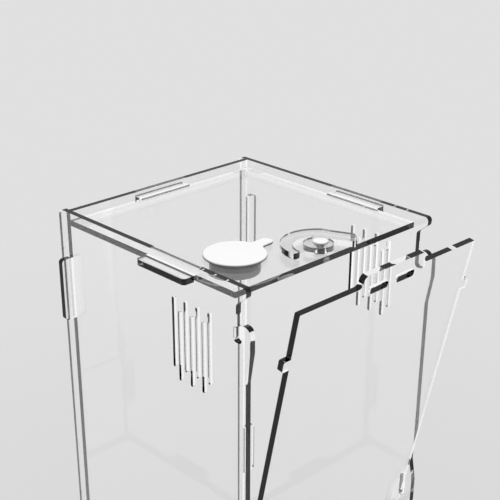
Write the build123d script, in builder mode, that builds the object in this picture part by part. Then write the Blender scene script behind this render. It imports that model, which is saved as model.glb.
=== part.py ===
"""Builds a clear acrylic terrarium with a tilting front door, one STEP file per piece.

X runs left to right as seen from the front, Y front to back and Z up from the table.
Every panel is drawn on a plane whose own origin sits on the front edge of the top panel.
"""

import math
import os

from build123d import *

os.makedirs("parts", exist_ok=True)

# Sheets
sheet = 5.0  # all enclosure panels
door_sheet = 5.0
latch_sheet = 5.0

# Enclosure, outside faces of the side panels are inner_width + 2 * sheet apart
inner_width = 200.0
side_height = 400.0
roof_depth = 197.8  # front edge of the top panel to the back panel
roof_drop = 7.2  # top face of the top panel below the side panels' top edge
floor_lift = 8.5  # underside of the floor above the table
side_overhang = 7.8  # side panels and the panels' back tabs behind the back panel
back_corner_round = 5.0

# Tabs and the slots they pass through
tab_length = 55.5
tab_reach = 10.0  # beyond the outer faces of the side panels
back_tab_reach = 9.0  # the same for the back panel's tabs
tab_round = 3.0
tab_play = 0.1  # all round the tab
joint_gap = 0.1  # between a panel's edge and the face that it butts against
roof_tab_back = 69.2  # middle of the top panel's side tabs behind its front edge
floor_tab_back = 101.6
back_tab_drop = 68.2  # middle of the back panel's upper tabs below its top
back_tab_lift = 80.0  # middle of its lower tabs above the table
sill_tab_drop = 37.0  # middle of the lower front panel's tabs below its top

# Air slits, a staggered row in each side panel
vent_width = 2.5
vent_length = 60.0
vent_pitch = 6.7
vent_upper_count = 4
vent_lower_count = 3
vent_back = 46.1  # middle of the row behind the top panel's front edge
vent_drop = 62.0  # middle of the upper slits below the side panels' top edge
vent_stagger = 10.0  # lower slits below the upper ones

# Front edge of the side panels, distances ahead of the top panel's front edge
front_edge = 13.9
horn_reach = 14.6
horn_slant = 1.0
neck_reach = 3.4
undercut = 2.5  # the pocket's back wall behind the neck
entry_width = 6.0  # from the neck forward to the hook
hook_thickness = 8.7
swell_depth = 4.0  # the swelling round the door pin's slot

# Heights along that edge, each one down or up from the one before
horn_height = 7.0
throat_drop = 8.0
neck_height = 18.5
pocket_height = 11.8
hook_height = 15.5  # up from the pocket's bottom
hook_flat = 20.5  # down from the hook's top
hook_taper = 24.7
swell_middle = 6.5  # above the door's axis
swell_length = 23.0
swell_ramp = 20.0

# Rounded corners of that edge
horn_round = 3.3
horn_under_round = 3.0
throat_round = 4.0
lip_round = 0.8
pocket_round = 3.0
hook_inner_round = 1.5
hook_outer_round = 5.8
hook_base_round = 8.0
swell_round = 8.0

# Door
door_tilt = 11.3  # leaning outwards
door_gap = 0.3  # to each side panel
axis_height = 130.0
axis_reach = 5.4  # ahead of the top panel's front edge
door_below_axis = 10.0
door_round = 1.0
lug_reach = 7.0  # pins and ears beyond the door's sides
pin_height = 5.0
pin_play = 0.15
pin_lift = 17.5  # straight part of the pin's slot, so that the door lifts off its hooks
ear_height = 9.0
ear_round = 1.5
closed_rise = 1.0  # door's top edge above the sides' when its ears hang in the pockets
flap_width = 70.0  # raised part of the top edge
flap_height = 9.5
flap_round = 4.2
flap_root_round = 4.2
keeper_width = 10.0  # bar between the two latch slots
keeper_slot_width = 20.0
keeper_slot_round = 2.0
keeper_play = 0.5  # above and below the latch plate
sill_gap = 3.0  # door's lower edge above the lower front panel when closed

# Latch
latch_back = 14.6  # hub's middle behind the top panel's front edge
latch_hub_radius = 12.0
pivot_right = 1.0  # pivot to the right of the hub's middle
pivot_ahead = 1.0  # and ahead of it
latch_outer_radius = 30.0
latch_claw_end = 187.0  # direction of the claw's end, degrees from +X
latch_claw_start = 35.0
latch_bridge_width = 13.0
latch_bridge_angle = 35.0
latch_end_round = 2.0
# Spiral inner edge of the claw, distance and direction from the hub's middle
latch_claw_inside = ((20.9, 147.0), (18.7, 113.0), (15.8, 74.0))
latch_claw_mouth = 23.1
latch_bridge_meeting = (15.3, 56.0)
# Outline of the thumb lever, to the right of the hub's middle and behind it
lever_inside = ((14.0, 0.0), (17.3, -6.9), (22.0, -17.7))
lever_tip = ((24.2, -18.3), (30.7, -12.1), (34.1, -7.6), (33.6, -3.9))
lever_outside = ((29.8, 4.3), (26.8, 10.8))
screw_head_radius = 6.3
screw_head_height = 2.0
screw_head_round = 0.7
screw_shaft_radius = 3.0
pivot_play = 0.1
latch_float = 0.2  # air between the latch and the top panel
screw_head_gap = 0.1

# Feeding plug
plug_left = 55.7  # left of the middle
plug_back = 49.7  # behind the top panel's front edge
plug_cap_radius = 25.0
plug_cap_height = 2.0
plug_cap_round = 0.7
plug_skirt_radius = 20.0
plug_skirt_length = 16.0
plug_wall = 2.0
plug_play = 0.1
pull_reach = 40.7  # tip of the pull tab from the cap's middle
pull_width = 11.5
pull_angle = 3.0

# Derived sizes
outer_half = inner_width / 2 + sheet
inner_half = inner_width / 2
tilt = math.radians(door_tilt)
door_width = inner_width - 2 * door_gap
door_above_axis = side_height - axis_height
back_reach = roof_depth + sheet + side_overhang
front_reach = (
    axis_reach
    + (door_above_axis + flap_height) * math.sin(tilt)
    + door_sheet / 2 * math.cos(tilt)
)
roof_front = (front_reach - back_reach) / 2
roof_top = side_height - roof_drop
sill_height = axis_height - door_below_axis - sill_gap
sill_back = axis_reach - sheet / 2  # inner face of the lower front panel
pin_slot_radius = math.hypot(door_sheet, pin_height) / 2 + pin_play
tab_end = outer_half + tab_reach
back_tab_end = outer_half + back_tab_reach
slot_length = tab_length + 2 * tab_play
slot_width = sheet + 2 * tab_play
panel_width = inner_width - 2 * joint_gap  # of the panels between the side panels
latch_bottom = roof_top + latch_float
latch_top = latch_bottom + latch_sheet
pivot = (pivot_right, latch_back - pivot_ahead)

# Heights of the side panels' front edge, down from the top edge
throat_at = horn_height + throat_drop
lip_at = throat_at + neck_height
pocket_at = lip_at + pocket_height
hook_at = pocket_at - hook_height
hook_front = neck_reach + entry_width + hook_thickness
axis_drop = side_height - axis_height
swell_top = axis_drop - swell_middle - swell_length / 2
swell_end = swell_top + swell_length

# Corners of the side panels, back from the top panel's front edge and up from the top
# edge, each with its rounding
side_corners = (
    (back_reach, -side_height, 0.0),
    (back_reach, 0.0, back_corner_round),
    (-horn_reach, 0.0, horn_round),
    (horn_slant - horn_reach, -horn_height, horn_under_round),
    (-neck_reach, -throat_at, throat_round),
    (-neck_reach, -lip_at, 0.0),
    (undercut - neck_reach, -lip_at, lip_round),
    (undercut - neck_reach, -pocket_at, pocket_round),
    (-neck_reach - entry_width, -pocket_at, pocket_round),
    (-neck_reach - entry_width, -hook_at, hook_inner_round),
    (-hook_front, -hook_at, hook_outer_round),
    (-hook_front, -hook_at - hook_flat, hook_base_round),
    (-front_edge, -hook_at - hook_flat - hook_taper, hook_base_round),
    (-front_edge, -swell_top + swell_ramp, swell_round),
    (-front_edge - swell_depth, -swell_top, swell_round),
    (-front_edge - swell_depth, -swell_end, swell_round),
    (-front_edge, -swell_end - swell_ramp, swell_round),
    (-front_edge, -side_height, 0.0),
)


def level(height):
    """Horizontal plane with its origin on the top panel's front edge line."""
    return Plane(origin=(0, roof_front, height))


def upright(distance):
    """Plane across X, drawn back from the front edge and up from the top edge."""
    return Plane(
        origin=(distance, roof_front, side_height), x_dir=(0, 1, 0), z_dir=(1, 0, 0)
    )


def facing(back):
    """Plane facing forwards, drawn to the right and up from the table."""
    return Plane(origin=(0, roof_front + back, 0), x_dir=(1, 0, 0), z_dir=(0, -1, 0))


def polar(distance, direction):
    """Point at a distance and direction from the middle of the latch's hub."""
    turn = math.radians(direction)
    return (distance * math.cos(turn), latch_back + distance * math.sin(turn))


# One drawing serves both side panels
with BuildSketch() as side_drawing:
    with BuildLine():
        Polyline(*[corner[:2] for corner in side_corners], close=True)
    make_face()
    for back, up, rounding in side_corners:
        if rounding > 0:
            fillet(side_drawing.vertices().sort_by_distance((back, up))[0], rounding)
    # slots for the tabs of the top, floor, back and lower front panels
    with Locations((roof_tab_back, -roof_drop - sheet / 2)):
        Rectangle(slot_length, slot_width, mode=Mode.SUBTRACT)
    with Locations((floor_tab_back, floor_lift + sheet / 2 - side_height)):
        Rectangle(slot_length, slot_width, mode=Mode.SUBTRACT)
    with Locations(
        (roof_depth + sheet / 2, -back_tab_drop),
        (roof_depth + sheet / 2, back_tab_lift - side_height),
        (-axis_reach, sill_height - sill_tab_drop - side_height),
    ):
        Rectangle(slot_width, slot_length, mode=Mode.SUBTRACT)
    # slot in which the door's pin turns and lifts
    with Locations((-axis_reach, -axis_drop + pin_lift / 2)):
        SlotCenterToCenter(pin_lift, 2 * pin_slot_radius, 90, mode=Mode.SUBTRACT)
    # air slits
    with Locations((vent_back, -vent_drop)):
        with GridLocations(2 * vent_pitch, 1, vent_upper_count, 1):
            SlotOverall(vent_length, vent_width, 90, mode=Mode.SUBTRACT)
    with Locations((vent_back, -vent_drop - vent_stagger)):
        with GridLocations(2 * vent_pitch, 1, vent_lower_count, 1):
            SlotOverall(vent_length, vent_width, 90, mode=Mode.SUBTRACT)

with BuildPart() as left_panel:
    with BuildSketch(upright(-outer_half)):
        add(side_drawing.sketch_local)
    extrude(amount=sheet)

with BuildPart() as right_panel:
    with BuildSketch(upright(inner_half)):
        add(side_drawing.sketch_local)
    extrude(amount=sheet)

with BuildPart() as back_panel:
    with BuildSketch(facing(roof_depth + sheet)) as back_drawing:
        with Locations((0, side_height / 2)):
            Rectangle(panel_width, side_height)
        with Locations((0, side_height - back_tab_drop), (0, back_tab_lift)):
            Rectangle(2 * back_tab_end, tab_length)
        fillet(back_drawing.vertices().group_by(Axis.X)[0], tab_round)
        fillet(back_drawing.vertices().group_by(Axis.X)[-1], tab_round)
        # slots for the back tabs of the top and floor panels
        with Locations((0, roof_top - sheet / 2), (0, floor_lift + sheet / 2)):
            Rectangle(slot_length, slot_width, mode=Mode.SUBTRACT)
    extrude(amount=sheet)

with BuildPart() as top_panel:
    with BuildSketch(level(roof_top - sheet)) as top_drawing:
        with Locations((0, (roof_depth - joint_gap) / 2)):
            Rectangle(panel_width, roof_depth - joint_gap)
        with Locations((0, roof_tab_back)):
            Rectangle(2 * tab_end, tab_length)
        with Locations((0, roof_depth)):
            Rectangle(tab_length, 2 * (sheet + side_overhang))
        fillet(top_drawing.vertices().group_by(Axis.X)[0], tab_round)
        fillet(top_drawing.vertices().group_by(Axis.X)[-1], tab_round)
        fillet(top_drawing.vertices().group_by(Axis.Y)[-1], tab_round)
        with Locations((-plug_left, plug_back)):
            Circle(plug_skirt_radius + plug_play, mode=Mode.SUBTRACT)
        with Locations(pivot):
            Circle(screw_shaft_radius, mode=Mode.SUBTRACT)
    extrude(amount=sheet)

with BuildPart() as floor_panel:
    with BuildSketch(level(floor_lift)) as floor_drawing:
        with Locations((0, (roof_depth - sill_back) / 2)):
            Rectangle(panel_width, roof_depth + sill_back - 2 * joint_gap)
        with Locations((0, floor_tab_back)):
            Rectangle(2 * tab_end, tab_length)
        with Locations((0, roof_depth)):
            Rectangle(tab_length, 2 * (sheet + side_overhang))
        fillet(floor_drawing.vertices().group_by(Axis.X)[0], tab_round)
        fillet(floor_drawing.vertices().group_by(Axis.X)[-1], tab_round)
        fillet(floor_drawing.vertices().group_by(Axis.Y)[-1], tab_round)
    extrude(amount=sheet)

with BuildPart() as lower_front_panel:
    with BuildSketch(facing(-sill_back)) as sill_drawing:
        with Locations((0, sill_height / 2)):
            Rectangle(panel_width, sill_height)
        with Locations((0, sill_height - sill_tab_drop)):
            Rectangle(2 * tab_end, tab_length)
        fillet(sill_drawing.vertices().group_by(Axis.X)[0], tab_round)
        fillet(sill_drawing.vertices().group_by(Axis.X)[-1], tab_round)
    extrude(amount=sheet)

# The door is drawn flat from its axis upwards, on a plane leaning outwards
door_plane = Plane(
    origin=(0, roof_front - axis_reach, axis_height),
    x_dir=(1, 0, 0),
    z_dir=(0, -math.cos(tilt), -math.sin(tilt)),
)
latch_middle = latch_bottom + latch_sheet / 2
lug_span = door_width + 2 * lug_reach
ear_middle = door_above_axis - closed_rise - pocket_at + ear_height / 2
keeper_slot_height = latch_sheet + 2 * keeper_play
keeper_slot_middle = door_above_axis - closed_rise - side_height + latch_middle
keeper_pitch = keeper_width + keeper_slot_width

with BuildPart() as door:
    with BuildSketch(door_plane) as door_drawing:
        with Locations((0, (door_above_axis - door_below_axis) / 2)):
            RectangleRounded(door_width, door_above_axis + door_below_axis, door_round)
        Rectangle(lug_span, pin_height)
        with Locations((0, ear_middle)):
            RectangleRounded(lug_span, ear_height, ear_round)
        with Locations((0, door_above_axis)):
            Rectangle(flap_width, 2 * flap_height)
        for side in (-1, 1):
            flap_end = side * flap_width / 2
            for up, rounding in (
                (door_above_axis + flap_height, flap_round),
                (door_above_axis, flap_root_round),
            ):
                corner = door_drawing.vertices().sort_by_distance((flap_end, up))[0]
                fillet(corner, rounding)
        with Locations((0, keeper_slot_middle)):
            with GridLocations(keeper_pitch, 1, 2, 1):
                RectangleRounded(
                    keeper_slot_width,
                    keeper_slot_height,
                    keeper_slot_round,
                    mode=Mode.SUBTRACT,
                )
    extrude(amount=door_sheet / 2, both=True)

with BuildPart() as latch_lever:
    with BuildSketch(level(latch_bottom)) as lever_drawing:
        with BuildLine():
            claw = CenterArc(
                (0, latch_back),
                latch_outer_radius,
                latch_claw_start,
                latch_claw_end - latch_claw_start,
            )
            mouth = Line(claw @ 1, polar(latch_claw_mouth, latch_claw_end))
            inside = Spline(
                mouth @ 1,
                *[polar(*point) for point in latch_claw_inside],
                polar(*latch_bridge_meeting),
            )
            lever_points = [(x, latch_back + y) for x, y in lever_inside]
            Line(inside @ 1, lever_points[0])
            thumb_inside = Spline(*lever_points)
            tip_points = [(x, latch_back + y) for x, y in lever_tip]
            tip = Polyline(thumb_inside @ 1, *tip_points)
            outer_points = [(x, latch_back + y) for x, y in lever_outside]
            Spline(tip @ 1, *outer_points, claw @ 0)
        make_face()
        for end in (latch_outer_radius, latch_claw_mouth):
            corner = polar(end, latch_claw_end)
            fillet(
                lever_drawing.vertices().sort_by_distance(corner)[0], latch_end_round
            )
        with Locations((0, latch_back)):
            Circle(latch_hub_radius)
        with Locations(Location((0, latch_back, 0), (0, 0, latch_bridge_angle))):
            with Locations((latch_hub_radius, 0)):
                Rectangle(2 * latch_hub_radius, latch_bridge_width)
        with Locations(pivot):
            Circle(screw_shaft_radius + pivot_play, mode=Mode.SUBTRACT)
    extrude(amount=latch_sheet)

with BuildPart() as latch_screw:
    with BuildSketch(level(latch_top + screw_head_gap)):
        with Locations(pivot):
            Circle(screw_head_radius)
    extrude(amount=screw_head_height)
    fillet(latch_screw.edges().group_by(Axis.Z)[-1], screw_head_round)
    with BuildSketch(level(roof_top - sheet)):
        with Locations(pivot):
            Circle(screw_shaft_radius)
    extrude(amount=latch_top + screw_head_gap - roof_top + sheet)

with BuildPart() as feeding_plug:
    with BuildSketch(level(roof_top)):
        with Locations((-plug_left, plug_back)):
            Circle(plug_cap_radius)
        with Locations(Location((-plug_left, plug_back, 0), (0, 0, pull_angle))):
            with Locations((pull_reach / 2, 0)):
                SlotOverall(pull_reach, pull_width)
    extrude(amount=plug_cap_height)
    fillet(feeding_plug.edges().group_by(Axis.Z)[-1], plug_cap_round)
    with BuildSketch(level(roof_top)):
        with Locations((-plug_left, plug_back)):
            Circle(plug_skirt_radius)
    extrude(amount=-plug_skirt_length)
    with BuildSketch(level(roof_top - plug_skirt_length)):
        with Locations((-plug_left, plug_back)):
            Circle(plug_skirt_radius - plug_wall)
    extrude(amount=plug_skirt_length, mode=Mode.SUBTRACT)

left_panel.part.label = "left_panel"
export_step(left_panel.part, "parts/left_panel.step")
right_panel.part.label = "right_panel"
export_step(right_panel.part, "parts/right_panel.step")
back_panel.part.label = "back_panel"
export_step(back_panel.part, "parts/back_panel.step")
top_panel.part.label = "top_panel"
export_step(top_panel.part, "parts/top_panel.step")
floor_panel.part.label = "floor_panel"
export_step(floor_panel.part, "parts/floor_panel.step")
lower_front_panel.part.label = "lower_front_panel"
export_step(lower_front_panel.part, "parts/lower_front_panel.step")
door.part.label = "door"
export_step(door.part, "parts/door.step")
latch_lever.part.label = "latch_lever"
export_step(latch_lever.part, "parts/latch_lever.step")
latch_screw.part.label = "latch_screw"
export_step(latch_screw.part, "parts/latch_screw.step")
feeding_plug.part.label = "feeding_plug"
export_step(feeding_plug.part, "parts/feeding_plug.step")
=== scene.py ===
"""Dresses the clear acrylic terrarium: six panels, door, claw latch, screw and plug.

Sizes are in millimetres in the frame of the CAD model, the same as in the part's
source. MM turns them into metres where a mesh or a lamp is made.
"""

import logging
import math
from dataclasses import dataclass
from enum import Enum

import bmesh
import bpy
from bmesh.types import BMesh, BMVert
from bpy.types import Material, Node, NodeSocket, NodeTree, Object
from mathutils import Matrix, Vector

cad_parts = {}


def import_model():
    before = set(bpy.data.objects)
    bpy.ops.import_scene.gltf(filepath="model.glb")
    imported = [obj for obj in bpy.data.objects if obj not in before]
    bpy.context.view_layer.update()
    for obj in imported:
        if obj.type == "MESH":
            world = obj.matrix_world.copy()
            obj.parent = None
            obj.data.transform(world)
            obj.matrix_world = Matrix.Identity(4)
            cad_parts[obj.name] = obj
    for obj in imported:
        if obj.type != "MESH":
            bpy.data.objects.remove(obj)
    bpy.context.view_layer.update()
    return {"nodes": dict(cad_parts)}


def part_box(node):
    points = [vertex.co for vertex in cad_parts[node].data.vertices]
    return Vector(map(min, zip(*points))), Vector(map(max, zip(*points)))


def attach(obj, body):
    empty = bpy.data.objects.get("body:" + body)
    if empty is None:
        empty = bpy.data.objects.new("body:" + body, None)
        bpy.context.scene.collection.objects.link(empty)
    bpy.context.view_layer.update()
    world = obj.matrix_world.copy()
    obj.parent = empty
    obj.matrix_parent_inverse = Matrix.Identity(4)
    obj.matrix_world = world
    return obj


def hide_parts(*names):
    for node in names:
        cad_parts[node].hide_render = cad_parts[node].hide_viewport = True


LOG = logging.getLogger("terrarium")
MM = 0.001
Point = tuple[float, float]
Corner = tuple[float, float, float]
Colour = tuple[float, float, float, float]

DOOR_TILT = math.radians(11.3)
CORNER_STEP = math.radians(6.0)  # widest turn between two points of a rounded corner
CREASE_ANGLE = math.radians(40.0)  # edges sharper than this aren't shaded smooth


def grey(tone: float) -> Colour:
    """Makes an opaque neutral colour."""
    return (tone, tone, tone, 1.0)


class SheetFacing(Enum):
    """Direction that a sheet's polished faces look in, so that the rest is cut edge."""

    SIDEWAYS = (1.0, 0.0, 0.0)
    FORWARDS = (0.0, 1.0, 0.0)
    UPWARDS = (0.0, 0.0, 1.0)
    DOOR = (0.0, math.cos(DOOR_TILT), math.sin(DOOR_TILT))


class FieldKind(Enum):
    """Kinds of named input and output of a node group."""

    SHAPE = "NodeSocketGeometry"
    NUMBER = "NodeSocketFloat"
    COUNT = "NodeSocketInt"
    PLACE = "NodeSocketVector"
    COLOUR = "NodeSocketColor"
    FINISH = "NodeSocketMaterial"


class NodeBoard:
    """Adds and joins the nodes of one material, world or node group."""

    def __init__(self, tree: NodeTree) -> None:
        """Takes the tree that the nodes go into."""
        self.tree = tree

    def add(self, kind: str, **settings: object) -> Node:
        """Adds a node.

        Args:
            kind: Blender's name of the node type.
            **settings: Properties of the node.

        Returns:
            The new node.
        """
        node = self.tree.nodes.new(kind)
        for name, value in settings.items():
            setattr(node, name, value)
        return node

    def feed(self, node: Node, values: dict[str | int, object]) -> None:
        """Links or sets inputs of a node.

        Args:
            node: The node.
            values: For each input, by its name or number, the output that it is linked
                to, a list of such outputs, or its constant.
        """
        for key, value in values.items():
            for item in (value if isinstance(value, list) else [value]):
                if isinstance(item, NodeSocket):
                    self.tree.links.new(item, node.inputs[key])
                else:
                    node.inputs[key].default_value = item

    def made(self, kind: str, values: dict[str | int, object], **settings: object) -> NodeSocket:
        """Adds a node and feeds it.

        Args:
            kind: Blender's name of the node type.
            values: What its inputs get.
            **settings: Properties of the node.

        Returns:
            The first output that the node has in use.
        """
        node = self.add(kind, **settings)
        self.feed(node, values)
        return next(output for output in node.outputs if output.enabled)

    def blend(self, factor: NodeSocket, otherwise: object, chosen: object) -> NodeSocket:
        """Adds a choice of two colours or outputs, the second where the factor is 1."""
        values = {"Factor": factor, "A": otherwise, "B": chosen}
        return self.made("ShaderNodeMix", values, data_type="RGBA")

    def ramp(
        self,
        value: NodeSocket,
        start: float,
        end: float,
        low: float = 0.0,
        high: float = 1.0,
    ) -> NodeSocket:
        """Adds a smooth rise from low to high while the value goes from start to end."""
        values = {"Value": value, "From Min": start, "From Max": end, "To Min": low, "To Max": high}
        return self.made("ShaderNodeMapRange", values, interpolation_type="SMOOTHSTEP")

    def passed(self, depth: str) -> NodeSocket:
        """Counts the surfaces of a kind that a ray has met."""
        return self.add("ShaderNodeLightPath").outputs[depth]

    def met(self, depth: str, most: int = 0) -> NodeSocket:
        """Gives 1 for rays that have met more surfaces of a kind than a number."""
        values = {0: self.passed(depth), 1: most + 0.5}
        return self.made("ShaderNodeMath", values, operation="GREATER_THAN")


class GroupBoard(NodeBoard):
    """The nodes of a new node group, with its inputs and outputs."""

    def __init__(
        self, name: str, kind: str, inputs: dict[str, FieldKind], outputs: dict[str, FieldKind]
    ) -> None:
        """Makes the group.

        Args:
            name: Its name.
            kind: Blender's name of the tree type.
            inputs: Its inputs by name.
            outputs: Its outputs by name.
        """
        super().__init__(bpy.data.node_groups.new(name, kind))
        face = self.tree.interface
        for in_out, fields in (("INPUT", inputs), ("OUTPUT", outputs)):
            for field, field_kind in fields.items():
                face.new_socket(field, in_out=in_out, socket_type=field_kind.value)
        self.inside = self.add("NodeGroupInput").outputs
        self.outside = self.add("NodeGroupOutput")


class EffectLibrary:
    """The effects that several finishes share, each a shader node group built once."""

    edge_end: float = 0.35  # likeness to the facing up to which a face is cut edge
    face_start: float = 0.75  # likeness from which it is polished face
    mark_start: float = 0.4  # noise at which a striation begins to show
    mark_full: float = 0.6
    cloud_scale: float = 45.0
    skin_detail: float = 4.0

    def __init__(self) -> None:
        """Builds the groups."""
        self.cut_edge = self._cut_edge()
        self.moulding = self._moulding()

    def _cut_edge(self) -> NodeTree:
        """Tells a sheet's cut edges and bores from its polished faces, and tones them, with painted
        shade in the bores.

        Returns:
            A group that takes the faces' direction and the tones, and gives the tone.
        """
        inputs = {
            "Facing": FieldKind.PLACE,
            "Face Tone": FieldKind.COLOUR,
            "Edge Tone": FieldKind.COLOUR,
            "Striation Tone": FieldKind.COLOUR,
            "Striation Scale": FieldKind.NUMBER,
            "Bore Painted Shade": FieldKind.COLOUR,
            "Bore": FieldKind.PLACE,
            "Bore Radius": FieldKind.NUMBER,
        }
        outputs = {"Tone": FieldKind.COLOUR}
        board = GroupBoard("cut_edge_tone", "ShaderNodeTree", inputs, outputs)
        given = board.inside
        place = board.add("ShaderNodeTexCoord")
        marks = self._striations(board, place)
        cut = board.blend(marks, given["Edge Tone"], given["Striation Tone"])
        # painted shade: near a bore, a near-black tone stands in for the shade that the hole holds
        edge = board.blend(self._bore_shade_mask(board, place), cut, given["Bore Painted Shade"])
        tone = board.blend(self._polished(board, place), edge, given["Face Tone"])
        board.feed(board.outside, {"Tone": tone})
        return board.tree

    def _striations(self, board: GroupBoard, place: Node) -> NodeSocket:
        """The laser's fine marks, which run straight through the sheet.

        Args:
            board: The group's nodes.
            place: Texture coordinates.

        Returns:
            An output that is 1 in a mark.
        """
        kind = "ShaderNodeVectorMath"
        here, facing = place.outputs["Object"], board.inside["Facing"]
        through = board.made(kind, {0: here, 1: facing}, operation="DOT_PRODUCT")
        across = board.made(kind, {0: facing, "Scale": through}, operation="SCALE")
        along = board.made(kind, {0: here, 1: across}, operation="SUBTRACT")
        marks = board.made(
            "ShaderNodeTexNoise",
            {"Vector": along, "Scale": board.inside["Striation Scale"]},
            noise_dimensions="3D",
        )
        return board.ramp(marks, self.mark_start, self.mark_full)

    def _bore_shade_mask(self, board: GroupBoard, place: Node) -> NodeSocket:
        """Finds the wall of an upright bore by its distance from the bore's axis, where shade is
        painted.

        Args:
            board: The group's nodes.
            place: Texture coordinates.

        Returns:
            An output that is 1 in and near the bore, where painted shade goes.
        """
        kind = "ShaderNodeVectorMath"
        flat = {0: place.outputs["Object"], 1: (1.0, 1.0, 0.0)}
        level = board.made(kind, flat, operation="MULTIPLY")
        away = board.made(kind, {0: level, 1: board.inside["Bore"]}, operation="DISTANCE")
        reach = {0: away, 1: board.inside["Bore Radius"]}
        return board.made("ShaderNodeMath", reach, operation="LESS_THAN")

    def _polished(self, board: GroupBoard, place: Node) -> NodeSocket:
        """Finds the polished faces by their normals.

        Args:
            board: The group's nodes.
            place: Texture coordinates.

        Returns:
            An output that is 1 on a polished face.
        """
        both = {0: place.outputs["Normal"], 1: board.inside["Facing"]}
        towards = board.made("ShaderNodeVectorMath", both, operation="DOT_PRODUCT")
        likeness = board.made("ShaderNodeMath", {0: towards}, operation="ABSOLUTE")
        return board.ramp(likeness, self.edge_end, self.face_start)

    def _moulding(self) -> NodeTree:
        """The slight mottling and fine skin of moulded plastic.

        Returns:
            A group that takes two tones and a scale, and gives a tone and a height.
        """
        inputs = {
            "Light Tone": FieldKind.COLOUR,
            "Deep Tone": FieldKind.COLOUR,
            "Scale": FieldKind.NUMBER,
        }
        outputs = {"Tone": FieldKind.COLOUR, "Height": FieldKind.NUMBER}
        board = GroupBoard("moulded_skin", "ShaderNodeTree", inputs, outputs)
        given = board.inside
        kind = "ShaderNodeTexNoise"
        here = board.add("ShaderNodeTexCoord").outputs["Object"]
        mottle = {"Vector": here, "Scale": self.cloud_scale}
        pores = {"Vector": here, "Scale": given["Scale"], "Detail": self.skin_detail}
        cloud = board.made(kind, mottle, noise_dimensions="3D")
        skin = board.made(kind, pores, noise_dimensions="3D")
        tone = board.blend(cloud, given["Light Tone"], given["Deep Tone"])
        board.feed(board.outside, {"Tone": tone, "Height": skin})
        return board.tree


@dataclass(frozen=True)
class ClearAcrylic:
    """Clear cast sheet with polished faces and laser-cut edges."""

    name: str
    facing: SheetFacing
    face_tone: Colour = grey(0.985)
    edge_tone: Colour = grey(0.94)
    striation_tone: Colour = grey(0.86)
    striation_scale: float = 900.0
    # painted shade: near-black tone on a bore's wall
    bore_painted_shade: Colour = grey(0.04)
    bore: Point = (0.0, 0.0)
    bore_radius: float = 0.0
    refraction: float = 1.49

    def material(self, effects: EffectLibrary) -> Material:
        """Makes the finish.

        Args:
            effects: The shared node groups.

        Returns:
            The material.
        """
        material = bpy.data.materials.new(self.name)
        material.use_nodes = True
        board = NodeBoard(material.node_tree)
        values = {
            "Facing": self.facing.value,
            "Face Tone": self.face_tone,
            "Edge Tone": self.edge_tone,
            "Striation Tone": self.striation_tone,
            "Striation Scale": self.striation_scale,
            "Bore Painted Shade": self.bore_painted_shade,
            "Bore": (self.bore[0] * MM, self.bore[1] * MM, 0.0),
            "Bore Radius": self.bore_radius * MM,
        }
        tone = board.made("ShaderNodeGroup", values, node_tree=effects.cut_edge)
        shader = material.node_tree.nodes["Principled BSDF"]
        shader.inputs["IOR"].default_value = self.refraction
        shader.inputs["Roughness"].default_value = 0.0
        shader.inputs["Transmission Weight"].default_value = 1.0
        board.feed(shader, {"Base Color": tone})
        return material


@dataclass(frozen=True)
class WhitePlastic:
    """Soft white moulded plastic with a slight gloss."""

    name: str
    light_tone: Colour = grey(0.985)
    deep_tone: Colour = (0.97, 0.97, 0.965, 1.0)
    roughness: float = 0.38
    skin_scale: float = 900.0
    skin_strength: float = 0.04
    skin_height: float = 0.2

    def material(self, effects: EffectLibrary) -> Material:
        """Makes the finish.

        Args:
            effects: The shared node groups.

        Returns:
            The material.
        """
        material = bpy.data.materials.new(self.name)
        material.use_nodes = True
        board = NodeBoard(material.node_tree)
        skin = board.add("ShaderNodeGroup", node_tree=effects.moulding)
        tones = {"Light Tone": self.light_tone, "Deep Tone": self.deep_tone}
        board.feed(skin, {**tones, "Scale": self.skin_scale})
        relief = {
            "Strength": self.skin_strength,
            "Distance": self.skin_height * MM,
            "Height": skin.outputs["Height"],
        }
        bump = board.made("ShaderNodeBump", relief)
        shader = material.node_tree.nodes["Principled BSDF"]
        shader.inputs["Roughness"].default_value = self.roughness
        board.feed(shader, {"Base Color": skin.outputs["Tone"], "Normal": bump})
        return material


def dress_node(node: Object, material: Material) -> Object:
    """Gives every slot of a clear CAD node one material, and lets light through it.

    Args:
        node: The CAD node.
        material: Its finish.

    Returns:
        The node.
    """
    for slot in node.material_slots:
        slot.material = material
    node.visible_shadow = False
    return node


def object_from(name: str, shape: BMesh) -> Object:
    """Turns a finished bmesh into an object at the origin.

    Args:
        name: Name of the piece.
        shape: The mesh, in metres. It is freed.

    Returns:
        The new object.
    """
    mesh = bpy.data.meshes.new(name)
    shape.to_mesh(mesh)
    shape.free()
    piece = bpy.data.objects.new(name, mesh)
    bpy.context.scene.collection.objects.link(piece)
    return piece


def turned(profile: list[Point], centre: Vector, steps: int) -> BMesh:
    """Turns a profile round an upright axis into a closed form.

    Args:
        profile: Distances from the axis and heights in millimetres, starting and ending
            on the axis.
        centre: Foot of the axis, in metres.
        steps: Divisions round the axis.

    Returns:
        The form, in metres, with its normals outwards.
    """
    shape = bmesh.new()
    rings: list[list[BMVert]] = []
    for distance, height in profile:
        if distance == 0.0:
            spot = centre + Vector((0.0, 0.0, height * MM))
            rings.append([shape.verts.new(spot)])
            continue
        ring = []
        for step in range(steps):
            turn = 2 * math.pi * step / steps
            offset = Vector((distance * math.cos(turn), distance * math.sin(turn), height))
            ring.append(shape.verts.new(centre + offset * MM))
        rings.append(ring)
    for lower, upper in zip(rings, rings[1:]):
        for step in range(steps):
            after = (step + 1) % steps
            corners = [
                lower[step % len(lower)],
                lower[after % len(lower)],
                upper[after % len(upper)],
                upper[step % len(upper)],
            ]
            unique = list(dict.fromkeys(corners))
            if len(unique) > 2:
                shape.faces.new(unique)
    bmesh.ops.recalc_face_normals(shape, faces=shape.faces)
    return shape


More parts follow.
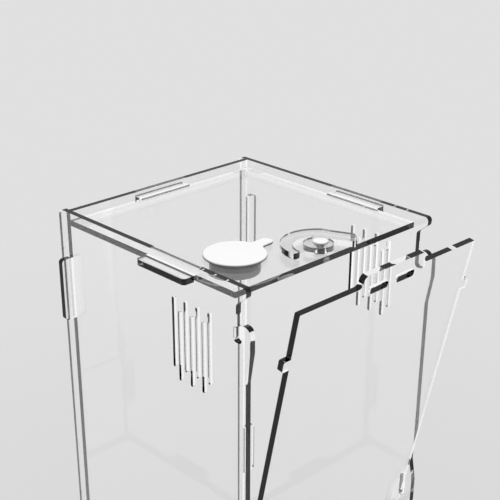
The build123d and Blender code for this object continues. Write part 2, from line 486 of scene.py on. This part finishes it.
def smooth_all(piece: Object) -> None:
    """Shades a piece smooth and keeps its creases."""
    piece.data.shade_smooth()
    piece.data.set_sharp_from_angle(angle=CREASE_ANGLE)


def arc(centre: Point, radius: float, first: float, last: float, steps: int) -> list[Point]:
    """Points on an arc.

    Args:
        centre: Middle of the arc in millimetres.
        radius: Its radius.
        first: Direction of the first point, in degrees.
        last: Direction of the last point.
        steps: Number of parts.

    Returns:
        The points, one more than steps.
    """
    points = []
    for step in range(steps + 1):
        turn = math.radians(first + (last - first) * step / steps)
        points.append((centre[0] + radius * math.cos(turn), centre[1] + radius * math.sin(turn)))
    return points


@dataclass(frozen=True)
class Studio:
    """Camera, floor, surroundings and lamp."""

    camera_spot: Corner = (-596.2, -597.79, 720.9)
    camera_turn: float = 43.54
    camera_pitch: float = 25.71
    camera_roll: float = -0.03
    lens: float = 80.2
    sensor: float = 36.0
    shift: Point = (0.021, 0.131)
    farthest: float = 60000.0  # the camera sees no farther
    floor_size: float = 40000.0
    floor_gap: float = 0.5  # between the floor and the object's feet
    floor_tone: float = 0.715
    floor_roughness: float = 0.9
    # painted shade: floor tone close to the object, fading out between fade_start and fade_end
    near_painted_shade: float = 0.676
    fade_start: float = 200.0
    fade_end: float = 1100.0
    # painted light: the floor seen through several sheets is made lighter
    painted_light_start: float = -0.06
    painted_light_each: float = 0.04
    floor_bounce: float = 0.05
    seen_tone: float = 0.745
    world_light: float = 0.13
    first_mirror: float = 0.5
    wandering: int = 6
    lost_tone: float = 0.02
    lamp_power: float = 2.9
    lamp_spread: float = 40.0
    lamp_lean: float = 4.0

    def build(self) -> None:
        """Makes everything that isn't part of the object."""
        self._camera()
        self._floor()
        self._world()
        self._lamp()
        bpy.context.scene.view_settings.view_transform = "Standard"

    def _camera(self) -> None:
        """Stands the camera where the photograph's edges meet in perspective."""
        data = bpy.data.cameras.new("camera")
        data.lens = self.lens
        data.sensor_width = self.sensor
        data.shift_x, data.shift_y = self.shift
        data.clip_end = self.farthest * MM
        camera = bpy.data.objects.new("camera", data)
        bpy.context.scene.collection.objects.link(camera)
        camera.location = Vector(self.camera_spot) * MM
        camera.rotation_mode = "XYZ"
        camera.rotation_euler = (
            math.pi / 2 - math.radians(self.camera_pitch),
            math.radians(self.camera_roll),
            -math.radians(self.camera_turn),
        )
        bpy.context.scene.camera = camera

    def _mirror_tone(self, board: NodeBoard) -> NodeSocket:
        """Tone of the surroundings in reflections.

        They are grey at first hand, white to rays that come out of a sheet, and dark to
        rays that have wandered through several.

        Args:
            board: The tree's nodes.

        Returns:
            The output with the tone.
        """
        inside = board.met("Transmission Depth")
        mirrored = board.blend(inside, grey(self.first_mirror), grey(1.0))
        wandered = board.met("Ray Depth", self.wandering)
        return board.blend(wandered, mirrored, grey(self.lost_tone))

    def _seen_floor(self, board: NodeBoard) -> NodeSocket:
        """Tone of the floor to the eye.

        It is a little deeper near the object, which is painted shade, and lighter by a
        step for each surface over the first few that a ray has passed, which is painted light.

        Args:
            board: The tree's nodes.

        Returns:
            The output with the tone.
        """
        here = board.add("ShaderNodeTexCoord").outputs["Object"]
        away = board.made("ShaderNodeVectorMath", {0: here}, operation="LENGTH")
        start, end = self.fade_start * MM, self.fade_end * MM
        # painted shade: the floor's tone deepens towards the object
        painted_shade_fade = board.ramp(away, start, end, self.near_painted_shade, self.floor_tone)
        # painted light: the floor lightens by a step for each sheet a ray has passed
        steps = {0: board.passed("Transmission Depth"), 1: self.painted_light_each, 2: self.painted_light_start}
        kind = "ShaderNodeMath"
        painted_light = board.made(kind, steps, operation="MULTIPLY_ADD", use_clamp=True)
        return board.made(kind, {0: painted_shade_fade, 1: painted_light, 2: painted_shade_fade}, operation="MULTIPLY_ADD")

    def _floor(self) -> None:
        """Lays a pale floor, which reflections show in the surroundings' tones."""
        shape = bmesh.new()
        half = self.floor_size * MM / 2
        bmesh.ops.create_grid(shape, x_segments=1, y_segments=1, size=half)
        down = (0.0, 0.0, -self.floor_gap * MM)
        bmesh.ops.translate(shape, verts=shape.verts, vec=down)
        floor = object_from("studio_floor", shape)
        floor.data.materials.append(self._floor_material())

    def _floor_material(self) -> Material:
        """Makes the floor's finish.

        Returns:
            The material.
        """
        material = bpy.data.materials.new("pale_floor")
        material.use_nodes = True
        board = NodeBoard(material.node_tree)
        bounced = board.met("Diffuse Depth")
        tone = board.blend(bounced, self._seen_floor(board), grey(self.floor_bounce))
        shader = material.node_tree.nodes["Principled BSDF"]
        shader.inputs["Roughness"].default_value = self.floor_roughness
        shader.inputs["Specular IOR Level"].default_value = 0.0
        board.feed(shader, {"Base Color": tone})
        bright = board.made("ShaderNodeEmission", {"Color": self._mirror_tone(board)})
        counts = {0: board.met("Glossy Depth"), 1: bounced}
        mirrored = board.made("ShaderNodeMath", counts, operation="SUBTRACT", use_clamp=True)
        shaders = {0: mirrored, 1: shader.outputs[0], 2: bright}
        mix = board.made("ShaderNodeMixShader", shaders)
        board.feed(material.node_tree.nodes["Material Output"], {"Surface": mix})
        return material

    def _world(self) -> None:
        """Surrounds the scene: soft light, pale to look at, white in reflections."""
        world = bpy.data.worlds.new("studio")
        world.use_nodes = True
        bpy.context.scene.world = world
        board = NodeBoard(world.node_tree)
        glossy = board.met("Glossy Depth")
        seen = board.blend(glossy, grey(self.seen_tone), self._mirror_tone(board))
        bounced = board.met("Diffuse Depth")
        tone = board.blend(bounced, seen, grey(self.world_light))
        board.feed(world.node_tree.nodes["Background"], {"Color": tone})

    def _lamp(self) -> None:
        """Hangs one wide soft lamp overhead, which mirrored and passing rays don't see."""
        data = bpy.data.lights.new("overhead", "SUN")
        data.energy = self.lamp_power
        data.angle = math.radians(self.lamp_spread)
        lamp = bpy.data.objects.new("overhead", data)
        bpy.context.scene.collection.objects.link(lamp)
        lean = math.radians(self.lamp_lean)
        lamp.rotation_euler = (-lean, lean, 0.0)
        lamp.visible_glossy = False
        lamp.visible_transmission = False


@dataclass(frozen=True)
class SlitSheet:
    """Geometry Nodes that cut rows of slits in a drawn outline and make it a sheet."""

    thickness: float
    slit_width: float
    slit_length: float
    slit_pitch: float
    upper_count: int
    lower_count: int
    row_back: float
    row_drop: float
    stagger: float
    end_steps: int = 7
    end_share: float = 0.4999  # of the slit's width, so that the two roundings don't meet
    same_place: float = 0.001  # points nearer than this are merged

    def tree(self) -> NodeTree:
        """Builds the tree.

        Returns:
            The tree, with a named input for each size.
        """
        inputs = {"Drawing": FieldKind.SHAPE}
        for name, (kind, _) in self._fields(Vector(), None).items():
            inputs[name] = kind
        outputs = {"Sheet": FieldKind.SHAPE}
        board = GroupBoard("slit_sheet", "GeometryNodeTree", inputs, outputs)
        given = board.inside
        outline = board.made("GeometryNodeMeshToCurve", {"Mesh": given["Drawing"]})
        slit = self._slit(board)
        rows = [self._row(board, slit, row) for row in ("Upper", "Lower")]
        drawn = board.made("GeometryNodeJoinGeometry", {0: [outline, *rows]})
        flat = board.made("GeometryNodeFillCurve", {"Curve": drawn}, mode="NGONS")
        standing = {
            "Geometry": self._thickened(board, flat),
            "Rotation": (math.pi / 2, 0.0, math.pi / 2),
            "Translation": given["Corner"],
        }
        stood = board.made("GeometryNodeTransform", standing)
        real = board.made("GeometryNodeRealizeInstances", {"Geometry": stood})
        finished = {"Geometry": real, "Material": given["Finish"]}
        dressed = board.made("GeometryNodeSetMaterial", finished)
        board.feed(board.outside, {"Sheet": dressed})
        return board.tree

    def _slit(self, board: GroupBoard) -> NodeSocket:
        """Draws one slit with round ends.

        Args:
            board: The tree's nodes.

        Returns:
            The curve.
        """
        width, length = board.inside["Slit Width"], board.inside["Slit Length"]
        slot = board.made(
            "GeometryNodeCurvePrimitiveQuadrilateral", {"Width": width, "Height": length}
        )
        half = board.made("ShaderNodeMath", {0: width, 1: self.end_share}, operation="MULTIPLY")
        ends = {"Curve": slot, "Count": self.end_steps, "Radius": half}
        return board.made("GeometryNodeFilletCurve", ends, mode="POLY")

    def _row(self, board: GroupBoard, slit: NodeSocket, row: str) -> NodeSocket:
        """Repeats the slit along a row.

        Args:
            board: The tree's nodes.
            slit: The curve to repeat.
            row: First word of the row's inputs.

        Returns:
            The row's curves.
        """
        given = board.inside
        line = {
            "Count": given[f"{row} Count"],
            "Start Location": given[f"{row} Start"],
            "Offset": board.made("ShaderNodeCombineXYZ", {"X": given["Slit Pitch"]}),
        }
        spots = board.made("GeometryNodeMeshLine", line, mode="OFFSET")
        copies = board.made("GeometryNodeInstanceOnPoints", {"Points": spots, "Instance": slit})
        return board.made("GeometryNodeRealizeInstances", {"Geometry": copies})

    def _thickened(self, board: GroupBoard, flat: NodeSocket) -> NodeSocket:
        """Raises the filled drawing to a closed sheet.

        Args:
            board: The tree's nodes.
            flat: The filled drawing.

        Returns:
            The sheet, lying down.
        """
        rise = {"Mesh": flat, "Offset Scale": board.inside["Thickness"], "Individual": False}
        raised = board.made("GeometryNodeExtrudeMesh", rise, mode="FACES")
        under = board.made("GeometryNodeFlipFaces", {"Mesh": flat})
        both = board.made("GeometryNodeJoinGeometry", {0: [raised, under]})
        merging = {"Geometry": both, "Distance": self.same_place * MM}
        return board.made("GeometryNodeMergeByDistance", merging)

    def _fields(
        self, corner: Vector, finish: Material | None
    ) -> dict[str, tuple[FieldKind, object]]:
        """The tree's inputs, each with its kind and value.

        Args:
            corner: Place of the drawing's origin on the sheet's left face, in metres.
            finish: Material of the sheet.

        Returns:
            The inputs by name.
        """
        pitch = 2 * self.slit_pitch
        upper = self.row_back - pitch * (self.upper_count - 1) / 2
        lower = self.row_back - pitch * (self.lower_count - 1) / 2
        drop = self.row_drop + self.stagger
        return {
            "Thickness": (FieldKind.NUMBER, self.thickness * MM),
            "Slit Width": (FieldKind.NUMBER, self.slit_width * MM),
            "Slit Length": (FieldKind.NUMBER, self.slit_length * MM),
            "Slit Pitch": (FieldKind.NUMBER, pitch * MM),
            "Upper Count": (FieldKind.COUNT, self.upper_count),
            "Upper Start": (FieldKind.PLACE, Vector((upper, -self.row_drop, 0)) * MM),
            "Lower Count": (FieldKind.COUNT, self.lower_count),
            "Lower Start": (FieldKind.PLACE, Vector((lower, -drop, 0)) * MM),
            "Corner": (FieldKind.PLACE, corner),
            "Finish": (FieldKind.FINISH, finish),
        }

    def make(
        self,
        name: str,
        drawing: list[list[Point]],
        corner: Vector,
        finish: Material,
        tree: NodeTree,
    ) -> Object:
        """Runs the tree on a drawing and keeps the plain mesh.

        Args:
            name: Name of the piece.
            drawing: Closed outlines, in millimetres.
            corner: Place of the drawing's origin on the sheet's left face, in metres.
            finish: Material of the sheet.
            tree: The tree.

        Returns:
            The sheet, at the origin, with no modifier.
        """
        lines = bmesh.new()
        for loop in drawing:
            spots = [lines.verts.new(Vector((x, y, 0.0)) * MM) for x, y in loop]
            for here, there in zip(spots, spots[1:] + spots[:1]):
                lines.edges.new((here, there))
        source = object_from(f"{name}_drawing", lines)
        maker = source.modifiers.new("slit_sheet", "NODES")
        maker.node_group = tree
        values = self._fields(corner, finish)
        for item in tree.interface.items_tree:
            if item.in_out == "INPUT" and item.name in values:
                value = values[item.name][1]
                maker[item.identifier] = list(value) if isinstance(value, Vector) else value
        graph = bpy.context.evaluated_depsgraph_get()
        mesh = bpy.data.meshes.new_from_object(source.evaluated_get(graph), depsgraph=graph)
        source.modifiers.remove(maker)
        bpy.data.objects.remove(source)
        mesh.name = name
        sheet = bpy.data.objects.new(name, mesh)
        bpy.context.scene.collection.objects.link(sheet)
        return sheet


def rounded_outline(corners: tuple[Corner, ...]) -> list[Point]:
    """Rounds the corners of an outline.

    Args:
        corners: Places across and up, each with its rounding, in millimetres.

    Returns:
        The outline's points.
    """
    points: list[Point] = []
    for index, (x, y, radius) in enumerate(corners):
        if radius <= 0:
            points.append((x, y))
            continue
        here = Vector((x, y))
        back = (Vector(corners[index - 1][:2]) - here).normalized()
        ahead = (Vector(corners[(index + 1) % len(corners)][:2]) - here).normalized()
        opening = back.angle(ahead)
        reach = radius / math.tan(opening / 2)
        middle = here + (back + ahead).normalized() * (radius / math.sin(opening / 2))
        first = here + back * reach - middle
        last = here + ahead * reach - middle
        sweep = first.angle_signed(last)
        start = math.atan2(first.y, first.x)
        steps = max(2, math.ceil(abs(sweep) / CORNER_STEP))
        for step in range(steps + 1):
            turn = start - sweep * step / steps
            points.append((middle.x + radius * math.cos(turn), middle.y + radius * math.sin(turn)))
    return points


def box_outline(middle: Point, width: float, height: float) -> list[Point]:
    """Draws an upright rectangle.

    Args:
        middle: Its middle.
        width: Its size across.
        height: Its size up.

    Returns:
        The four corners.
    """
    x, y = middle
    w, h = width / 2, height / 2
    return [(x - w, y - h), (x + w, y - h), (x + w, y + h), (x - w, y + h)]


@dataclass(frozen=True)
class FrontEdge:
    """Front edge of a side panel, from its horn down to the swelling at the door's pin.

    Reaches are ahead of the top panel's front edge. Heights and drops lead from one
    corner to the next.
    """

    reach: float = 13.9
    horn_reach: float = 14.6
    horn_slant: float = 1.0
    horn_height: float = 7.0
    horn_round: float = 3.3
    horn_under_round: float = 3.0
    throat_drop: float = 8.0
    throat_round: float = 4.0
    neck_reach: float = 3.4
    neck_height: float = 18.5
    undercut: float = 2.5
    lip_round: float = 0.8
    pocket_height: float = 11.8
    pocket_round: float = 3.0
    entry_width: float = 6.0
    hook_thickness: float = 8.7
    hook_height: float = 15.5
    hook_flat: float = 20.5
    hook_taper: float = 24.7
    hook_inner_round: float = 1.5
    hook_outer_round: float = 5.8
    hook_base_round: float = 8.0
    swell_depth: float = 4.0
    swell_middle: float = 6.5
    swell_length: float = 23.0
    swell_ramp: float = 20.0
    swell_round: float = 8.0

    def corners(self, axis_drop: float) -> tuple[Corner, ...]:
        """Works out the edge's corners, from the top down.

        Args:
            axis_drop: The door's axis below the panel's top edge.

        Returns:
            Places behind the top panel's front edge and above the side panel's top edge,
            each with its rounding.
        """
        neck = -self.neck_reach
        pocket_wall = neck + self.undercut
        hook_wall = neck - self.entry_width
        hook_face = hook_wall - self.hook_thickness
        throat = -self.horn_height - self.throat_drop
        lip = throat - self.neck_height
        pocket = lip - self.pocket_height
        hook_top = pocket + self.hook_height
        hook_base = hook_top - self.hook_flat
        swell_face = -self.reach - self.swell_depth
        swell_top = self.swell_middle - axis_drop + self.swell_length / 2
        swell_foot = swell_top - self.swell_length
        return (
            (-self.horn_reach, 0.0, self.horn_round),
            (self.horn_slant - self.horn_reach, -self.horn_height, self.horn_under_round),
            (neck, throat, self.throat_round),
            (neck, lip, 0.0),
            (pocket_wall, lip, self.lip_round),
            (pocket_wall, pocket, self.pocket_round),
            (hook_wall, pocket, self.pocket_round),
            (hook_wall, hook_top, self.hook_inner_round),
            (hook_face, hook_top, self.hook_outer_round),
            (hook_face, hook_base, self.hook_base_round),
            (-self.reach, hook_base - self.hook_taper, self.hook_base_round),
            (-self.reach, swell_top + self.swell_ramp, self.swell_round),
            (swell_face, swell_top, self.swell_round),
            (swell_face, swell_foot, self.swell_round),
            (-self.reach, swell_foot - self.swell_ramp, self.swell_round),
        )


@dataclass(frozen=True)
class ClearEnclosure:
    """The six fixed panels. The side panels are drawn and slit here.

    A side panel's drawing runs back from the top panel's front edge, and up from the
    side panel's own top edge.
    """

    sheet: float = 5.0
    inner_width: float = 200.0
    side_height: float = 400.0
    roof_depth: float = 197.8
    roof_drop: float = 7.2
    floor_lift: float = 8.5
    side_overhang: float = 7.8
    back_corner_round: float = 5.0
    front_edge: FrontEdge = FrontEdge()
    axis_height: float = 130.0
    axis_reach: float = 5.4
    pin_height: float = 5.0
    pin_play: float = 0.15
    pin_lift: float = 17.5
    pin_slot_steps: int = 24
    tab_length: float = 55.5
    tab_play: float = 0.1
    roof_tab_back: float = 69.2
    floor_tab_back: float = 101.6
    back_tab_drop: float = 68.2
    back_tab_lift: float = 80.0
    sill_tab_lift: float = 80.0
    plug_left: float = 55.7
    plug_back: float = 49.7
    # painted shade covers the sheet's cut edges within this radius of the plug's axis
    plug_bore: float = 20.6  # a little over the radius of the hole for the plug

    def _outline(self) -> list[Point]:
        """Outline of a side panel.

        Returns:
            Its points.
        """
        back = self.roof_depth + self.sheet + self.side_overhang
        axis_drop = self.side_height - self.axis_height
        return rounded_outline(
            (
                (back, -self.side_height, 0.0),
                (back, 0.0, self.back_corner_round),
                *self.front_edge.corners(axis_drop),
                (-self.front_edge.reach, -self.side_height, 0.0),
            )
        )

    def _pin_slot(self) -> list[Point]:
        """Upright slot with round ends, in which the door's pin turns and lifts.

        Returns:
            Its points.
        """
        radius = math.hypot(self.sheet, self.pin_height) / 2 + self.pin_play
        drop = self.side_height - self.axis_height
        steps = self.pin_slot_steps
        upper_end = arc((-self.axis_reach, self.pin_lift - drop), radius, 0, 180, steps)
        lower_end = arc((-self.axis_reach, -drop), radius, 180, 360, steps)
        return upper_end + lower_end

    def drawing(self) -> list[list[Point]]:
        """Draws a side panel without its air slits.

        Returns:
            The closed outlines of the panel, its tab slots and its pin slot.
        """
        half_sheet = self.sheet / 2
        roof = (self.roof_tab_back, -self.roof_drop - half_sheet)
        floor = (self.floor_tab_back, self.floor_lift + half_sheet - self.side_height)
        back_upper = (self.roof_depth + half_sheet, -self.back_tab_drop)
        back_lower = (self.roof_depth + half_sheet, self.back_tab_lift - self.side_height)
        sill = (-self.axis_reach, self.sill_tab_lift - self.side_height)
        length = self.tab_length + 2 * self.tab_play
        width = self.sheet + 2 * self.tab_play
        lying = [box_outline(middle, length, width) for middle in (roof, floor)]
        upright = [box_outline(middle, width, length) for middle in (back_upper, back_lower, sill)]
        return [self._outline(), *lying, *upright, self._pin_slot()]

    def build(self, nodes: dict[str, Object], effects: EffectLibrary) -> list[Object]:
        """Makes the side panels and dresses the others.

        Args:
            nodes: The CAD nodes by name.
            effects: The shared node groups.

        Returns:
            The six panels.
        """
        roof_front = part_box("top_panel")[0].y / MM
        finishes = {
            "back_panel": ClearAcrylic("clear_back", SheetFacing.FORWARDS),
            "lower_front_panel": ClearAcrylic("clear_lower_front", SheetFacing.FORWARDS),
            "floor_panel": ClearAcrylic("clear_floor", SheetFacing.UPWARDS),
            # the plug hole's wall gets painted shade
            "top_panel": ClearAcrylic(
                "clear_top",
                SheetFacing.UPWARDS,
                bore=(-self.plug_left, roof_front + self.plug_back),
                bore_radius=self.plug_bore,
            ),
        }
        panels = [
            dress_node(nodes[name], finish.material(effects))
            for name, finish in finishes.items()
        ]
        slits = SlitSheet(
            thickness=self.sheet,
            slit_width=2.5,
            slit_length=60.0,
            slit_pitch=6.7,
            upper_count=4,
            lower_count=3,
            row_back=46.1,
            row_drop=62.0,
            stagger=10.0,
        )
        tree = slits.tree()
        finish = ClearAcrylic("clear_side", SheetFacing.SIDEWAYS)
        material = finish.material(effects)
        inner = self.inner_width / 2
        for side, left_face in (("left", -inner - self.sheet), ("right", inner)):
            corner = Vector((left_face, roof_front, self.side_height)) * MM
            panel = slits.make(f"{side}_slit_panel", self.drawing(), corner, material, tree)
            panel.visible_shadow = False
            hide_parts(f"{side}_panel")
            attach(panel, "enclosure")
            panels.append(panel)
        return panels


class TiltingDoor:
    """The front door, leaning out on its pins."""

    def build(self, nodes: dict[str, Object], effects: EffectLibrary) -> Object:
        """Dresses the door's CAD node and returns it."""
        finish = ClearAcrylic("clear_door", SheetFacing.DOOR)
        return dress_node(nodes["door"], finish.material(effects))


@dataclass(frozen=True)
class ClawLatch:
    """The claw-shaped latch that turns on the top panel."""

    # painted shade covers the lever's cut edges within this radius of the screw's axis
    pivot_bore: float = 3.5  # a little over the radius of the hole for the screw

    def build(self, nodes: dict[str, Object], effects: EffectLibrary) -> Object:
        """Dresses the latch.

        Args:
            nodes: The CAD nodes by name.
            effects: The shared node groups.

        Returns:
            The latch's CAD node.
        """
        low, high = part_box("latch_screw")
        # the pivot hole's wall gets painted shade
        finish = ClearAcrylic(
            "clear_latch",
            SheetFacing.UPWARDS,
            bore=((low.x + high.x) / 2 / MM, (low.y + high.y) / 2 / MM),
            bore_radius=self.pivot_bore,
        )
        return dress_node(nodes["latch_lever"], finish.material(effects))


@dataclass(frozen=True)
class PivotScrew:
    """White screw with a low domed head, on which the latch turns."""

    head_radius: float = 6.3
    head_height: float = 2.0
    head_chamfer: float = 0.3  # under the head
    crown: float = 0.25
    crown_shares: tuple[float, ...] = (0.8, 0.55, 0.3)
    rim_round: float = 1.2
    rim_turn: float = 78.0
    rim_steps: int = 6
    shaft_radius: float = 3.0
    tip_round: float = 0.5
    tip_steps: int = 4
    steps: int = 64

    def _profile(self, length: float) -> list[Point]:
        """Section of the screw, from its tip to the top of its head.

        Args:
            length: The screw's whole length.

        Returns:
            Distances from the axis and heights.
        """
        seat = length - self.head_height
        edge = self.head_radius - self.rim_round
        rim = (edge, length - self.crown - self.rim_round)
        tip = (self.shaft_radius - self.tip_round, self.tip_round)
        profile: list[Point] = [(0.0, 0.0)]
        profile += arc(tip, self.tip_round, -90, 0, self.tip_steps)
        profile.append((self.shaft_radius, seat))
        profile.append((self.head_radius - self.head_chamfer, seat))
        profile.append((self.head_radius, seat + self.head_chamfer))
        profile += arc(rim, self.rim_round, 0, self.rim_turn, self.rim_steps)
        for share in self.crown_shares:
            profile.append((edge * share, length - self.crown * share**2))
        profile.append((0.0, length))
        return profile

    def build(self, white: Material) -> Object:
        """Turns the screw and lets it stand for its CAD node.

        Args:
            white: The plastic.

        Returns:
            The screw.
        """
        low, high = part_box("latch_screw")
        centre = Vector(((low.x + high.x) / 2, (low.y + high.y) / 2, low.z))
        profile = self._profile((high.z - low.z) / MM)
        screw = object_from("pivot_screw", turned(profile, centre, self.steps))
        smooth_all(screw)
        screw.data.materials.append(white)
        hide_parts("latch_screw")
        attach(screw, "enclosure")
        return screw


@dataclass(frozen=True)
class FeedingPlug:
    """White plug: a round cap with a pull tab, over a hollow skirt."""

    cap_radius: float = 25.0
    cap_height: float = 2.0
    cap_steps: int = 88
    rim_round: float = 1.0
    rim_steps: int = 5
    under_round: float = 0.3
    under_steps: int = 2
    skirt_radius: float = 20.0
    skirt_length: float = 16.0
    skirt_root: float = 0.4  # the skirt reaches this far up into the cap
    skirt_steps: int = 96
    wall: float = 2.0
    ceiling_round: float = 1.0
    lip_round: float = 0.8
    round_steps: int = 5
    pull_reach: float = 40.7
    pull_width: float = 11.5
    pull_angle: float = 3.0
    pull_steps: int = 20
    pull_root: float = 4.0
    root_steps: int = 6
    least_side: float = 0.02  # nearer points of the outline are one
    tolerance: float = 0.01  # edges this near to a rim's height belong to it

    def build(self, white: Material) -> Object:
        """Makes the plug and lets it stand for its CAD node.

        Args:
            white: The plastic.

        Returns:
            The plug.
        """
        low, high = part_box("feeding_plug")
        centre = Vector(
            (low.x + self.cap_radius * MM, (low.y + high.y) / 2, high.z - self.cap_height * MM)
        )
        shape = self._cap(centre)
        skirt = turned(self._skirt_profile(), centre, self.skirt_steps)
        skirt_mesh = bpy.data.meshes.new("skirt")
        skirt.to_mesh(skirt_mesh)
        skirt.free()
        shape.from_mesh(skirt_mesh)
        bpy.data.meshes.remove(skirt_mesh)
        plug = object_from("feeding_plug_body", shape)
        smooth_all(plug)
        plug.data.materials.append(white)
        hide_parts("feeding_plug")
        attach(plug, "plug")
        return plug

    def _skirt_profile(self) -> list[Point]:
        """Section of the hollow skirt, from inside its top to its lip and up outside.

        Returns:
            Distances from the axis and heights.
        """
        inner = self.skirt_radius - self.wall
        bottom = self.lip_round - self.skirt_length
        ceiling = (inner - self.ceiling_round, -self.ceiling_round)
        inner_lip = (inner + self.lip_round, bottom)
        outer_lip = (self.skirt_radius - self.lip_round, bottom)
        profile: list[Point] = [(0.0, 0.0)]
        profile += arc(ceiling, self.ceiling_round, 90, 0, self.round_steps)
        profile += arc(inner_lip, self.lip_round, 180, 270, self.round_steps)
        profile += arc(outer_lip, self.lip_round, 270, 360, self.round_steps)
        profile.append((self.skirt_radius, self.skirt_root))
        profile.append((0.0, self.skirt_root))
        return profile

    def _outline(self) -> list[Point]:
        """Outline of the cap and its pull tab, seen from above, about the cap's middle.

        Returns:
            Its points. Where two arcs meet there can be two in one place.
        """
        half = self.pull_width / 2
        tip = self.pull_reach - half
        root = self.pull_root
        spread = half + root
        along = math.sqrt((self.cap_radius + root) ** 2 - spread**2)
        cap_end = math.degrees(math.asin(spread / (self.cap_radius + root)))
        outline = arc((0.0, 0.0), self.cap_radius, cap_end, 360 - cap_end, self.cap_steps)
        outline += arc((along, -spread), root, 180 - cap_end, 90, self.root_steps)
        outline += arc((tip, 0.0), half, -90, 90, self.pull_steps)
        outline += arc((along, spread), root, 270, 180 + cap_end, self.root_steps)
        return outline

    def _cap(self, centre: Vector) -> BMesh:
        """Builds the cap and tab as one plate with a rounded rim.

        Args:
            centre: Middle of the cap's underside, in metres.

        Returns:
            The plate.
        """
        shape = bmesh.new()
        turn = Matrix.Rotation(math.radians(self.pull_angle), 3, "Z")
        outline: list[Point] = []
        for spot in self._outline():
            if not outline or math.dist(outline[-1], spot) >= self.least_side:
                outline.append(spot)
        if math.dist(outline[0], outline[-1]) < self.least_side:
            outline.pop()
        corners = [shape.verts.new(centre + turn @ Vector((x, y, 0.0)) * MM) for x, y in outline]
        plate = shape.faces.new(corners)
        if plate.normal.z > 0:
            plate.normal_flip()
        grown = bmesh.ops.extrude_face_region(shape, geom=[plate])
        raised = [v for v in grown["geom"] if isinstance(v, BMVert)]
        bmesh.ops.translate(shape, verts=raised, vec=(0, 0, self.cap_height * MM))
        bmesh.ops.recalc_face_normals(shape, faces=shape.faces)
        self._round_rim(shape, centre.z + self.cap_height * MM, self.rim_round, self.rim_steps)
        self._round_rim(shape, centre.z, self.under_round, self.under_steps)
        return shape

    def _round_rim(self, shape: BMesh, height: float, radius: float, steps: int) -> None:
        """Rounds the edges of a plate that lie at one height.

        Args:
            shape: The plate.
            height: Their height, in metres.
            radius: Radius of the rounding.
            steps: Its number of parts.
        """
        near = self.tolerance * MM
        rim = [
            edge
            for edge in shape.edges
            if all(abs(vertex.co.z - height) < near for vertex in edge.verts)
        ]
        bmesh.ops.bevel(
            shape, geom=rim, offset=radius * MM, segments=steps, profile=0.5, affect="EDGES"
        )


def main() -> None:
    """Builds the studio and the sub-assemblies in order."""
    logging.basicConfig(level=logging.INFO, format="%(name)s: %(message)s")
    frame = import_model()
    nodes = frame["nodes"]
    effects = EffectLibrary()
    Studio().build()
    white = WhitePlastic("white_plastic").material(effects)
    pieces = ClearEnclosure().build(nodes, effects)
    pieces.append(TiltingDoor().build(nodes, effects))
    pieces.append(ClawLatch().build(nodes, effects))
    pieces.append(PivotScrew().build(white))
    pieces.append(FeedingPlug().build(white))
    for piece in pieces:
        LOG.info("made %s", piece.name)


if __name__ == "__main__":
    main()
